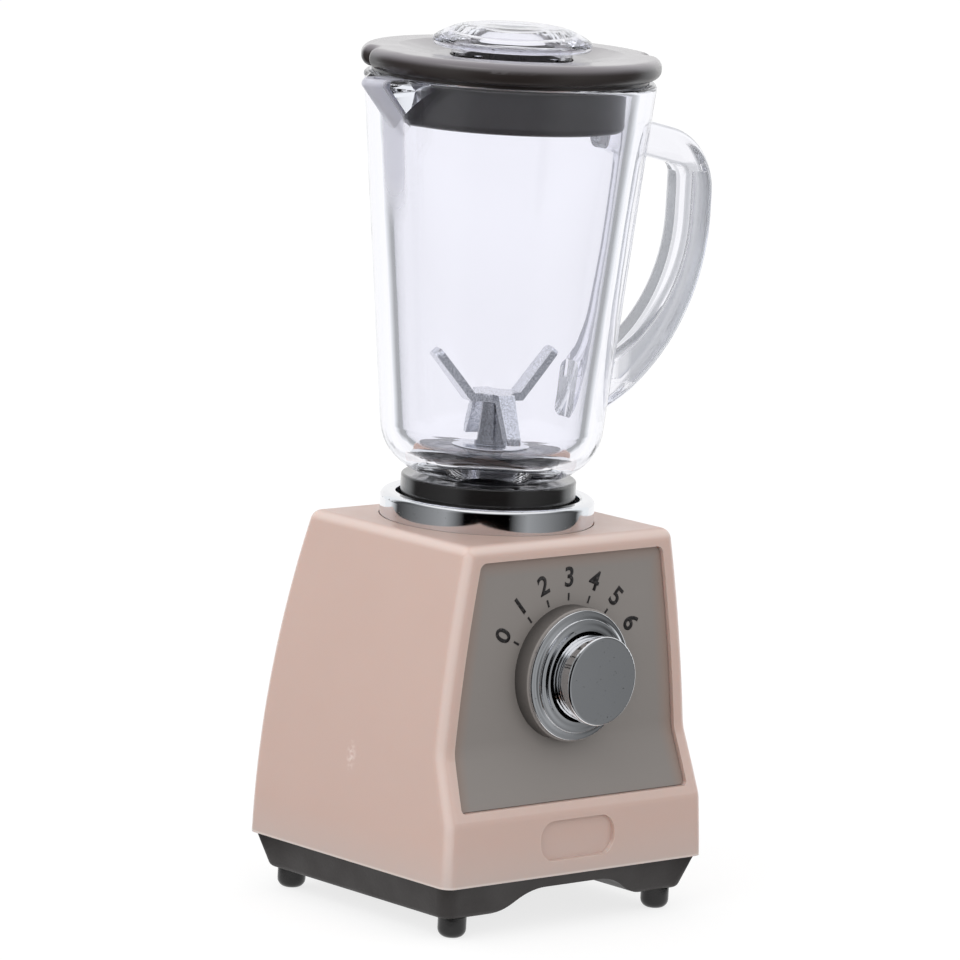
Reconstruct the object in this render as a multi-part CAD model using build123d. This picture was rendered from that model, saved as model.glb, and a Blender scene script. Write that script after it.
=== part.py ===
from build123d import *
import os
from math import cos, hypot, radians, sin, sqrt, tan

# A toy jug blender of doll's-house size, in millimetres.
# +Z is up, the floor is at Z = 0, the knob faces -Y, the handle points to +X.

# Feet
FOOT_RADIUS = 1.03
FOOT_HEIGHT = 1.55
FOOT_ROUND = 0.65
FOOT_INSET_X = 2.65
FOOT_INSET_Y = 2.2
FOOT_STEM_RADIUS = 0.55
FOOT_STEM_LENGTH = 6.0
STEM_CLEARANCE = 0.03

# Bottom plate
PLATE_HEIGHT = 2.5
PLATE_REVEAL = 0.2
PLATE_DRAFT = 0.8
PLATE_EDGE_ROUND = 0.5
PLATE_CORNER_ROUND = 1.1
PLATE_LIP_HEIGHT = 1.2
PLATE_LIP_WALL = 1.0
PLATE_LIP_CLEARANCE = 0.1
ARCH_SPAN = 15.6
ARCH_CROWN = 5.2
ARCH_RISE = 1.65

# Housing
HOUSING_WIDTH = 25.0
HOUSING_TOP_WIDTH = 19.8
HOUSING_DEPTH = 22.3
HOUSING_HEIGHT = 24.05
SIDE_BOW = 0.57
BACK_SETBACK = 2.1
BACK_BOW = 0.55
FRONT_TOP_SETBACK = 2.4
BEND_SETBACK = 2.02
BEND_HEIGHT = 9.3
BEND_ROUND = 3.0
FLARE_SETBACK = 0.27
FLARE_HEIGHT = 4.5
FLARE_ROUND = 1.5
HOUSING_ROUND = 0.9
SIDE_WALL = 1.3
FRONT_WALL = 2.1
TOP_WALL = 2.2
POST_RADIUS = 1.7
POST_MARGIN = 0.6
LABEL_RECESS_WIDTH = 7.15
LABEL_RECESS_HEIGHT = 2.9
LABEL_RECESS_ROUND = 1.3
LABEL_RECESS_DEPTH = 0.35
LABEL_RECESS_RISE = 2.55

# Front panel
PANEL_THICKNESS = 0.8
PANEL_REVEAL = 0.32
PANEL_GAP = 0.06
PANEL_BORDER = 1.45
PANEL_TOP_BORDER = 1.25
PANEL_FOOT = 5.3
PANEL_TOP_ROUND = 0.6
PANEL_FOOT_ROUND = 0.35
BOSS_RADIUS = 4.9
BOSS_HEIGHT = 1.4
BOSS_ROUND = 0.2

# Knob and its bezel
KNOB_HEIGHT = 14.3
KNOB_RADIUS = 3.25
KNOB_REACH = 4.0
KNOB_GAP = 0.08
KNOB_FACE_ROUND = 0.2
KNOB_RIM = 0.6
KNOB_WAIST = 0.15
KNOB_FLOOR_GAP = 0.1
KNOB_STEM_RADIUS = 1.2
KNOB_STEM_CLEARANCE = 0.05
BEZEL_RADIUS = 4.75
BEZEL_EDGE = 0.16
BEZEL_LIP = 0.36
BEZEL_STEP_RADIUS = 4.15
BEZEL_STEP = 0.12
BEZEL_CREST = 0.68
BEZEL_ROUND = 0.08
BEZEL_SKIRT_INSET = 0.35
BEZEL_SKIRT_WALL = 0.35
BEZEL_SKIRT_DEPTH = 0.6
BEZEL_FIT = 0.02
PAD_RADIUS = 2.6
PAD_HEIGHT = 0.5
CLIP_THICKNESS = 0.45
CLIP_PLAY = 0.05
CLIP_FIT = 0.02
CLIP_BAND = 1.1
CLIP_GROOVE = 0.3
CLIP_MOUTH = 1.5
STEM_TIP = 0.6

# Seat ring in the housing's well
JUG_Y = 0.75
WELL_DEPTH = 0.5
WELL_GAP = 0.06
RING_RADIUS = 7.8
RING_HEIGHT = 2.3
RING_ROUND = 0.45
RING_INNER_ROUND = 0.2
RING_PEG_COUNT = 3
RING_PEG_RADIUS = 0.35
RING_PEG_LENGTH = 1.2
RING_PEG_CLEARANCE = 0.03

# Jug collar
COLLAR_RADIUS = 6.38
COLLAR_GAP = 0.3
COLLAR_HEIGHT = 3.53
COLLAR_ROUND = 0.2
COLLAR_SEAT_GAP = 0.05
COLLAR_FLOOR = 0.9
COLLAR_CLEARANCE = 0.05

# Jug
JUG_TURN = -5.0
JUG_REVEAL = 0.07
JUG_HEIGHT = 29.1
JUG_FOOT_RADIUS = 7.76
JUG_TOP_RADIUS = 10.6
JUG_WALL = 1.65
JUG_FLOOR = 1.85
JUG_FOOT_ROUND = 4.0
JUG_INNER_ROUND = 2.0
JUG_RIM_ROUND = 0.35
JUG_MOUTH_CHAMFER = 0.2
JUG_SPIGOT_RADIUS = 4.5
JUG_SPIGOT_DEPTH = 1.25
SPOUT_REACH = 13.6
SPOUT_HALF_ANGLE = 50.0
SPOUT_DROP = 3.9
SPOUT_WALL = 1.1
SPOUT_NOSE_ROUND = 0.9
SPOUT_INNER_ROUND = 0.4
HANDLE_REACH = 18.25
HANDLE_WIDTH = 3.2
HANDLE_THICKNESS = 2.55
HANDLE_BOW_RADIUS = 16.0
HANDLE_INNER_BOW_RADIUS = 11.6
HANDLE_BOW_DROP = 10.35
HANDLE_SWEEP = 71.0
HANDLE_CORNER_DROP = 4.85
HANDLE_BAR_SLOPE = 13.4
HANDLE_OUTER_ROUND = 5.1
HANDLE_INNER_ROUND = 0.9
HANDLE_EDGE_ROUND = 0.8
HANDLE_POCKET_INSET = 0.5
HANDLE_POCKET_DEPTH = 0.4
HANDLE_POCKET_TOP = 7.2
HANDLE_POCKET_FOOT = 22.6

# Blade base, post and blade
HUB_RADIUS = 2.1
HUB_CLEARANCE = 0.05
FLANGE_RADIUS = 2.9
FLANGE_THICKNESS = 0.2
FLANGE_ROUND = 0.08
POST_FLOAT = 0.05
POST_FOOT_RADIUS = 1.2
POST_FOOT_HEIGHT = 0.45
POST_LOW_RADIUS = 1.05
POST_HIGH_RADIUS = 0.72
POST_HEIGHT = 3.55
JOURNAL_RADIUS = 0.7
JOURNAL_CLEARANCE = 0.05
POST_SPIGOT_RADIUS = 0.35
POST_SPIGOT_HEIGHT = 0.3
SPIGOT_CLEARANCE = 0.02
POST_GROOVE = 0.2
POST_CLIP_BAND = 0.7
POST_CLIP_MOUTH = 0.8
POST_TIP = 0.4
BLADE_TURN = -10.0
BLADE_THICKNESS = 0.6
BLADE_WIDTH = 1.6
BLADE_HUB_RADIUS = 1.55
BLADE_UP_BEND = 2.1
BLADE_UP_REACH = 5.0
BLADE_UP_RISE = 3.5
BLADE_UP_TIP = 1.35
BLADE_DOWN_BEND = 1.75
BLADE_DOWN_REACH = 3.2
BLADE_DOWN_DROP = 2.9
BLADE_DOWN_TOE = 0.7
BLADE_DOWN_TIP = 1.0
BLADE_TIP_ROUND = 0.4

# Lid and its cap
LID_TURN = -22.8
LID_OVERHANG = 0.23
LID_THICKNESS = 1.55
LID_GAP = 0.05
LID_STEP_INSET = 0.6
LID_STEP_HEIGHT = 0.25
LID_EDGE_ROUND = 0.72
LID_DISH_RADIUS = 8.2
LID_DISH_DEPTH = 0.5
LID_SKIRT_CLEARANCE = 0.2
LID_SKIRT_DEPTH = 3.4
LID_SKIRT_WALL = 1.0
LID_SKIRT_ROUND = 0.5
LID_NOTCH_DEPTH = 0.65
LID_NOTCH_RADIUS = 0.8
LID_NOTCH_BLEND = 0.9
CAP_NECK_RADIUS = 4.36
CAP_NECK_CLEARANCE = 0.1
CAP_NECK_LENGTH = 2.3
CAP_WALL = 0.8
CAP_SKIN = 0.4
CAP_FLANGE_RADIUS = 5.76
CAP_FLANGE_LIFT = 0.7
CAP_FLANGE_THICKNESS = 0.55
CAP_FLANGE_ROUND = 0.24
CAP_DOME = 1.05
CAP_DOME_BOW = 0.22
CAP_CROWN_RADIUS = 3.1
CAP_DISH_RADIUS = 2.57
CAP_DISH_DEPTH = 0.25
CAP_SLOT_WIDTH = 0.35
CAP_SLOT_HEIGHT = 1.85
CAP_SLOT_OFFSET = 18.0
CAP_SLOT_GROUPS = 3
CAP_SLOT_TURN = -38.0

# Heights that follow from the stack
RIM = FOOT_HEIGHT + PLATE_HEIGHT
HOUSING_TOP = RIM + HOUSING_HEIGHT
WELL_FLOOR = HOUSING_TOP - WELL_DEPTH
RING_TOP = WELL_FLOOR + RING_HEIGHT
COLLAR_BOTTOM = WELL_FLOOR + COLLAR_SEAT_GAP
COLLAR_TOP = COLLAR_BOTTOM + COLLAR_HEIGHT
JUG_BOTTOM = COLLAR_TOP + JUG_REVEAL
JUG_FLOOR_TOP = JUG_BOTTOM + JUG_FLOOR
JUG_TOP = JUG_BOTTOM + JUG_HEIGHT
SPIGOT_BOTTOM = JUG_BOTTOM - JUG_SPIGOT_DEPTH
HUB_BOTTOM = SPIGOT_BOTTOM - COLLAR_CLEARANCE - COLLAR_FLOOR
FLANGE_TOP = JUG_FLOOR_TOP + FLANGE_THICKNESS
POST_BOTTOM = FLANGE_TOP + POST_FLOAT
POST_TOP = POST_BOTTOM + POST_HEIGHT
LID_BOTTOM = JUG_TOP + LID_GAP
LID_DISC_BOTTOM = LID_BOTTOM + LID_STEP_HEIGHT
LID_TOP = LID_DISC_BOTTOM + LID_THICKNESS
LID_INNER_TOP = LID_TOP - LID_DISH_DEPTH
CAP_FLANGE_BOTTOM = LID_INNER_TOP + CAP_FLANGE_LIFT
CAP_FLANGE_TOP = CAP_FLANGE_BOTTOM + CAP_FLANGE_THICKNESS
CAP_CROWN = CAP_FLANGE_TOP + CAP_DOME
CAP_BOTTOM = CAP_FLANGE_BOTTOM - CAP_NECK_LENGTH
KNOB_Z = RIM + KNOB_HEIGHT

# Radii and places that follow from a fit
RING_BORE = COLLAR_RADIUS + COLLAR_GAP
WELL_RADIUS = RING_RADIUS + WELL_GAP
LID_RADIUS = JUG_TOP_RADIUS + LID_OVERHANG
LID_STEP_RADIUS = JUG_TOP_RADIUS - LID_STEP_INSET
FOOT_X = HOUSING_WIDTH / 2 - FOOT_INSET_X
FOOT_Y = HOUSING_DEPTH / 2 - FOOT_INSET_Y
FOOT_PLACES = {
    "front_left": (-FOOT_X, -FOOT_Y),
    "front_right": (FOOT_X, -FOOT_Y),
    "back_left": (-FOOT_X, FOOT_Y),
    "back_right": (FOOT_X, FOOT_Y),
}
STEM_BORE = FOOT_STEM_RADIUS + STEM_CLEARANCE
STEM_BORE_TOP = FOOT_HEIGHT + FOOT_STEM_LENGTH + STEM_CLEARANCE
KNOB_BORE = KNOB_RADIUS + KNOB_GAP
JUG_SLOPE = (JUG_TOP_RADIUS - JUG_FOOT_RADIUS) / JUG_HEIGHT
PAST = 2.0
FAR = 40.0

SEAT = Pos(0, JUG_Y, 0)
JUG_PLACE = SEAT * Rot(0, 0, JUG_TURN)


def upright(radius, bottom, top):
    """Cylinder about the local Z axis between two heights."""
    seat = (Align.CENTER, Align.CENTER, Align.MIN)
    return Pos(0, 0, bottom) * Cylinder(radius, top - bottom, align=seat)


def crowned(radius, bottom, top, crown_round):
    """Upright cylinder with a rounded top edge."""
    disc = upright(radius, bottom, top)
    return fillet(disc.edges().group_by(Axis.Z)[-1], crown_round)


def drawn(plane, lines):
    """Face on a plane from the lines of its closed outline."""
    return make_face([edge for line in lines for edge in (plane * line).edges()])


def turned(points):
    """Solid of revolution about the local Z axis from the corners of an outline of (radius, height)."""
    return revolve(drawn(Plane.XZ, [Polyline(*points, close=True)]), Axis.Z)


def jug_radius(height):
    """Outer radius of the jug's straight wall at a height."""
    return JUG_FOOT_RADIUS + (height - JUG_BOTTOM) * JUG_SLOPE


def side_half_width(height):
    """Half the housing's width at a height, on the bowed line of its side."""
    low = HOUSING_WIDTH / 2
    high = HOUSING_TOP_WIDTH / 2
    chord = hypot(low - high, HOUSING_HEIGHT)
    radius = (chord**2 / 4 + SIDE_BOW**2) / (2 * SIDE_BOW)
    away = radius - SIDE_BOW
    centre_x = (low + high) / 2 - away * HOUSING_HEIGHT / chord
    centre_z = (RIM + HOUSING_TOP) / 2 - away * (low - high) / chord
    return centre_x + sqrt(radius**2 - (height - centre_z) ** 2)


def front_line(height):
    """Y of the housing's upper front face at a height."""
    share = (height - RIM - BEND_HEIGHT) / (HOUSING_HEIGHT - BEND_HEIGHT)
    return -HOUSING_DEPTH / 2 + BEND_SETBACK + share * (FRONT_TOP_SETBACK - BEND_SETBACK)


def panel_face_y():
    """Y of the panel's face behind the knob."""
    return front_line(KNOB_Z) + PANEL_REVEAL


def pad_back_y():
    """Y of the flat pad inside the housing that the knob's clip runs on."""
    return front_line(KNOB_Z) + FRONT_WALL + PAD_HEIGHT


def front_chain(inset, top):
    """Bent front of the housing's side view from a height down to the rim, moved back by inset."""
    rim_y = -HOUSING_DEPTH / 2 + inset
    return FilletPolyline(
        (front_line(top) + inset, top),
        (rim_y + BEND_SETBACK, RIM + BEND_HEIGHT),
        (rim_y + FLARE_SETBACK, RIM + FLARE_HEIGHT),
        (rim_y, RIM),
        radius=[BEND_ROUND, FLARE_ROUND],
    )


def around_bottom(start, end, bottom):
    """Lines that join two points of the rim through a bottom height, which may be the rim itself."""
    if bottom == RIM:
        return Line(start, end)
    return Polyline(start, (start[0], bottom), (end[0], bottom), end)


def side_faces(inset, top, bottom):
    """Front view of the housing between two heights, moved in from both sides."""
    points = [(side_half_width(z) - inset, z) for z in (RIM, (RIM + top) / 2, top)]
    low = points[0][0]
    right = ThreePointArc(*points)
    left = ThreePointArc(*[(-x, z) for x, z in points])
    lines = [right, left, Line(points[2], (-points[2][0], top))]
    lines.append(around_bottom((low, RIM), (-low, RIM), bottom))
    return drawn(Plane.XZ, lines)


def housing_block(inset, front_inset, top, bottom):
    """Body of the housing's outline, moved in from its sides, back and front."""
    back_low = HOUSING_DEPTH / 2 - inset
    back_high = back_low - BACK_SETBACK
    front_low = -HOUSING_DEPTH / 2 + front_inset
    front = front_chain(front_inset, top)
    back = SagittaArc((back_low, RIM), (back_high, top), -BACK_BOW)
    lines = [front, back, Line(back @ 1, front @ 0)]
    lines.append(around_bottom((front_low, RIM), (back_low, RIM), bottom))
    profile = drawn(Plane.YZ, lines)
    across = extrude(profile, amount=FAR, both=True)
    along = extrude(side_faces(inset, top, bottom), amount=FAR, both=True)
    return across & along


def panel_face(gap):
    """Front view of the panel, grown by gap."""
    low = RIM + PANEL_FOOT - gap
    high = HOUSING_TOP - PANEL_TOP_BORDER + gap
    heights = (low, (low + high) / 2, high)
    points = [(side_half_width(z) - PANEL_BORDER + gap, z) for z in heights]
    right = ThreePointArc(*points)
    left = ThreePointArc(*[(-x, z) for x, z in points])
    lines = [right, left, Line(right @ 0, left @ 0), Line(right @ 1, left @ 1)]
    face = drawn(Plane.XZ, lines)
    corners = face.vertices().group_by(Axis.Z)
    face = fillet(corners[-1], PANEL_TOP_ROUND)
    return fillet(face.vertices().group_by(Axis.Z)[0], PANEL_FOOT_ROUND)


def panel_slab(front_inset, back_inset):
    """Slab that follows the housing's bent front between two insets."""
    front = front_chain(front_inset, HOUSING_TOP)
    back = front_chain(back_inset, HOUSING_TOP)
    lines = [front, back, Line(front @ 0, back @ 0), Line(front @ 1, back @ 1)]
    return extrude(drawn(Plane.YZ, lines), amount=FAR, both=True)


def knob_axis(y):
    """Placement on the knob's axis at a Y, with local Z pointing out of the front."""
    return Plane((0, y, KNOB_Z), x_dir=(1, 0, 0), z_dir=(0, -1, 0))


def along_knob(radius, back, front):
    """Cylinder on the knob's axis between two Y values."""
    return knob_axis(back) * upright(radius, 0, back - front)


def make_housing():
    """Pink shell with its panel pocket, label recess, well, corner posts and knob pad."""
    outer = housing_block(0, 0, HOUSING_TOP, RIM)
    rim_edges = outer.edges().group_by(Axis.Z)[0]
    top_edges = outer.edges().group_by(Axis.Z)[-1]
    bends = outer.edges().filter_by(Axis.X)
    corners = [edge for edge in outer.edges() if edge not in rim_edges + top_edges + bends]
    outer = fillet(corners + top_edges, HOUSING_ROUND)
    cavity = housing_block(SIDE_WALL, FRONT_WALL, HOUSING_TOP - TOP_WALL, RIM - PAST)
    shell = outer - cavity

    posts = Part()
    for place in FOOT_PLACES.values():
        posts += Pos(*place) * upright(POST_RADIUS, RIM, STEM_BORE_TOP + POST_MARGIN)
    pad = along_knob(PAD_RADIUS, pad_back_y(), panel_face_y() + PANEL_THICKNESS)
    shell += (posts & housing_block(SIDE_WALL / 2, SIDE_WALL / 2, HOUSING_TOP, RIM)) + pad
    for place in FOOT_PLACES.values():
        shell -= Pos(*place) * upright(STEM_BORE, RIM - PAST, STEM_BORE_TOP)

    pocket_floor = PANEL_REVEAL + PANEL_THICKNESS + PANEL_GAP
    pocket = extrude(panel_face(PANEL_GAP), amount=FAR) & panel_slab(-PAST, pocket_floor)
    shell -= pocket
    shell -= along_knob(KNOB_STEM_RADIUS + KNOB_STEM_CLEARANCE, pad_back_y() + PAST, -HOUSING_DEPTH)

    recess = RectangleRounded(LABEL_RECESS_WIDTH, LABEL_RECESS_HEIGHT, LABEL_RECESS_ROUND)
    recess_floor = -HOUSING_DEPTH / 2 + FLARE_SETBACK / 2 + LABEL_RECESS_DEPTH
    recess_plane = Plane((0, recess_floor, RIM + LABEL_RECESS_RISE), x_dir=(1, 0, 0), z_dir=(0, -1, 0))
    shell -= extrude(recess_plane * recess, amount=PAST)

    shell -= SEAT * upright(WELL_RADIUS, WELL_FLOOR, HOUSING_TOP + PAST)
    for peg in ring_pegs(RING_PEG_CLEARANCE):
        shell -= peg
    return shell


def make_front_panel():
    """Grey bent panel with the boss that carries the bezel and the knob."""
    face_y = panel_face_y()
    boss_front = face_y - BOSS_HEIGHT
    slab = panel_slab(PANEL_REVEAL, PANEL_REVEAL + PANEL_THICKNESS)
    panel = extrude(panel_face(0), amount=FAR) & slab
    panel += knob_axis(face_y) * crowned(BOSS_RADIUS, -PANEL_THICKNESS / 2, BOSS_HEIGHT, BOSS_ROUND)
    panel -= along_knob(KNOB_BORE, face_y, boss_front - PAST)
    panel -= along_knob(KNOB_STEM_RADIUS + KNOB_STEM_CLEARANCE, face_y + PAST, face_y - PAST)
    groove_outer = BEZEL_RADIUS - BEZEL_SKIRT_INSET + BEZEL_FIT
    groove_inner = groove_outer - BEZEL_SKIRT_WALL - 2 * BEZEL_FIT
    groove_back = boss_front + BEZEL_SKIRT_DEPTH + BEZEL_FIT
    groove = along_knob(groove_outer, groove_back, boss_front - PAST)
    groove -= along_knob(groove_inner, groove_back, boss_front - PAST)
    return panel - groove


def make_knob_bezel():
    """Chrome ring of two cones with a step between, on the boss, with a skirt in the boss's groove."""
    boss_front = panel_face_y() - BOSS_HEIGHT
    skirt_outer = BEZEL_RADIUS - BEZEL_SKIRT_INSET
    ring = turned(
        [
            (KNOB_BORE, 0),
            (BEZEL_RADIUS, 0),
            (BEZEL_RADIUS, BEZEL_EDGE),
            (BEZEL_STEP_RADIUS, BEZEL_LIP),
            (BEZEL_STEP_RADIUS, BEZEL_LIP + BEZEL_STEP),
            (KNOB_BORE, BEZEL_CREST),
        ]
    )
    *_, step_edges, rim_edges = ring.edges().filter_by(GeomType.CIRCLE).group_by(SortBy.RADIUS)
    front_edges = [edges.sort_by(Axis.Z)[-1] for edges in (step_edges, rim_edges)]
    ring = fillet(front_edges, BEZEL_ROUND)
    skirt = upright(skirt_outer, -BEZEL_SKIRT_DEPTH, 0)
    skirt -= upright(skirt_outer - BEZEL_SKIRT_WALL, -PAST, PAST)
    return knob_axis(boss_front) * (ring + skirt)


def make_knob():
    """Chrome knob with a rounded face edge, a waist behind the rim and a grooved stem."""
    back = KNOB_FLOOR_GAP
    groove_front = panel_face_y() - pad_back_y() - CLIP_PLAY
    groove_back = groove_front - CLIP_THICKNESS - CLIP_FIT
    tip = groove_back - STEM_TIP
    body = turned(
        [
            (0, tip),
            (KNOB_STEM_RADIUS, tip),
            (KNOB_STEM_RADIUS, groove_back),
            (KNOB_STEM_RADIUS - CLIP_GROOVE, groove_back),
            (KNOB_STEM_RADIUS - CLIP_GROOVE, groove_front),
            (KNOB_STEM_RADIUS, groove_front),
            (KNOB_STEM_RADIUS, back),
            (KNOB_RADIUS, back),
            (KNOB_RADIUS - KNOB_WAIST, KNOB_REACH - KNOB_RIM),
            (KNOB_RADIUS, KNOB_REACH - KNOB_RIM),
            (KNOB_RADIUS, KNOB_REACH),
            (0, KNOB_REACH),
        ]
    )
    face_edge = body.edges().group_by(Axis.Z)[-1]
    return knob_axis(panel_face_y()) * fillet(face_edge, KNOB_FACE_ROUND)


def c_clip(bore, band, mouth, thickness):
    """Flat C-clip that lies on the local XY plane and opens towards +Y."""
    clip = upright(bore + band, 0, thickness) - upright(bore, -PAST, PAST)
    reach = bore + band + PAST
    return clip - Pos(0, reach / 2, 0) * Box(mouth, reach, 2 * PAST)


def make_knob_clip():
    """Clip in the stem's groove, behind the housing's pad."""
    bore = KNOB_STEM_RADIUS - CLIP_GROOVE + CLIP_FIT
    back = pad_back_y() + CLIP_PLAY + CLIP_FIT / 2 + CLIP_THICKNESS
    return knob_axis(back) * c_clip(bore, CLIP_BAND, CLIP_MOUTH, CLIP_THICKNESS)


def plate_outline(inset, z):
    """Plan of the bottom plate, moved in from the housing's rim."""
    width = HOUSING_WIDTH - 2 * inset
    depth = HOUSING_DEPTH - 2 * inset
    return Pos(0, 0, z) * RectangleRounded(width, depth, PLATE_CORNER_ROUND)


def make_bottom_plate():
    """Dark plate with tapered sides, an arched channel below and a lip inside the housing."""
    top = plate_outline(PLATE_REVEAL, RIM)
    bottom = plate_outline(PLATE_REVEAL + PLATE_DRAFT, FOOT_HEIGHT)
    plate = loft([bottom, top], ruled=True)
    plate = fillet(plate.faces().sort_by(Axis.Z)[0].edges(), PLATE_EDGE_ROUND)
    lip_top = RIM + PLATE_LIP_HEIGHT
    lip_inset = SIDE_WALL + PLATE_LIP_CLEARANCE
    lip_front = FRONT_WALL + PLATE_LIP_CLEARANCE
    lip = housing_block(lip_inset, lip_front, HOUSING_TOP, RIM)
    lip -= housing_block(lip_inset + PLATE_LIP_WALL, lip_front + PLATE_LIP_WALL, HOUSING_TOP, RIM - PAST)
    lip &= Pos(0, 0, lip_top - FAR / 2) * Box(FAR, FAR, FAR)
    for place in FOOT_PLACES.values():
        lip -= Pos(*place) * upright(POST_RADIUS + PLATE_LIP_CLEARANCE, RIM, RIM + FAR)
    plate += lip
    for place in FOOT_PLACES.values():
        plate -= Pos(*place) * upright(STEM_BORE, 0, RIM + PAST)
    return plate - arch_channel()


def arch_channel():
    """Bell-shaped channel across the underside, from the front to the back."""
    foot = FOOT_HEIGHT
    crown = FOOT_HEIGHT + ARCH_RISE
    half = ARCH_SPAN / 2
    top = ARCH_CROWN / 2
    middle = ((half + top) / 2, (foot + crown) / 2)
    lines = []
    for side in (1, -1):
        lines.append(TangentArc((side * half, foot), (side * middle[0], middle[1]), tangent=(-side, 0)))
        lines.append(TangentArc((side * top, crown), (side * middle[0], middle[1]), tangent=(side, 0)))
    lines.append(Line((-top, crown), (top, crown)))
    lines.append(Polyline((half, foot), (half, foot - PAST), (-half, foot - PAST), (-half, foot)))
    return extrude(drawn(Plane.XZ, lines), amount=FAR, both=True)


def make_foot(place):
    """Foot with a rounded bottom and a stem into the housing's corner post."""
    body = upright(FOOT_RADIUS, 0, FOOT_HEIGHT)
    body = fillet(body.edges().group_by(Axis.Z)[0], FOOT_ROUND)
    return Pos(*place) * (body + upright(FOOT_STEM_RADIUS, FOOT_HEIGHT, FOOT_HEIGHT + FOOT_STEM_LENGTH))


def ring_pegs(clearance):
    """Pegs under the seat ring, grown by a clearance."""
    middle = (RING_RADIUS + RING_BORE) / 2
    pegs = []
    for index in range(RING_PEG_COUNT):
        turn = Rot(0, 0, 90 + 360 * index / RING_PEG_COUNT)
        low = WELL_FLOOR - RING_PEG_LENGTH - clearance
        pegs.append(SEAT * turn * Pos(middle, 0, 0) * upright(RING_PEG_RADIUS + clearance, low, WELL_FLOOR))
    return pegs


def make_seat_ring():
    """Chrome ring that stands in the housing's well on three pegs."""
    ring = upright(RING_RADIUS, WELL_FLOOR, RING_TOP)
    ring -= upright(RING_BORE, WELL_FLOOR - PAST, RING_TOP + PAST)
    crest = ring.edges().group_by(Axis.Z)[-1].sort_by(SortBy.RADIUS)
    ring = fillet(crest[-1], RING_ROUND)
    crest = ring.edges().filter_by(GeomType.CIRCLE).group_by(Axis.Z)[-1].sort_by(SortBy.RADIUS)
    ring = SEAT * fillet(crest[0], RING_INNER_ROUND)
    for peg in ring_pegs(0):
        ring += peg
    return ring


def make_jar_collar():
    """Black collar that takes the jug's spigot above and the hub tube in its floor."""
    floor_top = SPIGOT_BOTTOM - COLLAR_CLEARANCE
    collar = crowned(COLLAR_RADIUS, COLLAR_BOTTOM, COLLAR_TOP, COLLAR_ROUND)
    collar -= upright(JUG_SPIGOT_RADIUS + COLLAR_CLEARANCE, floor_top, COLLAR_TOP + PAST)
    collar -= upright(HUB_RADIUS + HUB_CLEARANCE, COLLAR_BOTTOM - PAST, COLLAR_TOP)
    return JUG_PLACE * collar


def cup_solid(foot_radius, top_radius, bottom, top, foot_round):
    """Solid cup with a straight tapered wall and a rounded foot."""
    cup = turned([(0, bottom), (foot_radius, bottom), (top_radius, top), (0, top)])
    return fillet(cup.edges().group_by(Axis.Z)[0], foot_round)


def spout_tip(height, inset):
    """Distance of the spout's keel from the jug's axis at a height, moved in by a wall."""
    low = JUG_TOP - SPOUT_DROP
    lean = (SPOUT_REACH - jug_radius(low)) / SPOUT_DROP
    return jug_radius(low) + (height - low) * lean - inset / sin(radians(SPOUT_HALF_ANGLE))


def spout_wedge(inset, low, high, nose_round):
    """Leaning wedge of the spout between two heights, moved in from its outer faces by inset."""
    tip = spout_tip(low, inset)
    root = jug_radius(low) - JUG_WALL - PAST
    half = (tip - root) * tan(radians(SPOUT_HALF_ANGLE))
    plan = Pos(0, 0, low) * make_face(Polyline((-tip, 0), (-root, half), (-root, -half), close=True))
    lean = Vector(-(spout_tip(high, inset) - tip), 0, high - low)
    wedge = extrude(plan, amount=lean.length, dir=lean.normalized())
    rising_edges = wedge.edges().group_by(Axis.Z)[1]
    keel = rising_edges.sort_by(Axis.X)[0]
    return fillet(keel, nose_round)


def handle_face():
    """Side view of the handle: a sloping bar, a corner and a bow that thickens down to the jug's foot."""
    bow_z = JUG_TOP - HANDLE_BOW_DROP
    corner_z = JUG_TOP - HANDLE_CORNER_DROP
    inner_x = HANDLE_REACH - HANDLE_THICKNESS
    rise = tan(radians(HANDLE_BAR_SLOPE))
    root_x = jug_radius(corner_z) - JUG_WALL / 2
    bar_drop = HANDLE_THICKNESS / cos(radians(HANDLE_BAR_SLOPE))
    outer_root = (root_x, corner_z + rise * (HANDLE_REACH - root_x))
    inner_corner = (inner_x, corner_z + rise * HANDLE_THICKNESS - bar_drop)
    inner_root = (root_x, outer_root[1] - bar_drop)
    outer = FilletPolyline(
        outer_root, (HANDLE_REACH, corner_z), (HANDLE_REACH, bow_z), radius=HANDLE_OUTER_ROUND
    )
    inner = FilletPolyline(inner_root, inner_corner, (inner_x, bow_z), radius=HANDLE_INNER_ROUND)
    centre = (HANDLE_REACH - HANDLE_BOW_RADIUS, bow_z)
    outer_bow = CenterArc(centre, HANDLE_BOW_RADIUS, 0, -HANDLE_SWEEP)
    inner_centre = (inner_x - HANDLE_INNER_BOW_RADIUS, bow_z)
    inner_bow = CenterArc(inner_centre, HANDLE_INNER_BOW_RADIUS, 0, -HANDLE_SWEEP)
    lines = [outer, outer_bow, inner, inner_bow]
    lines.append(Line(outer @ 0, inner @ 0))
    lines.append(Line(outer_bow @ 1, inner_bow @ 1))
    return drawn(Plane.XZ, lines)


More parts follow.
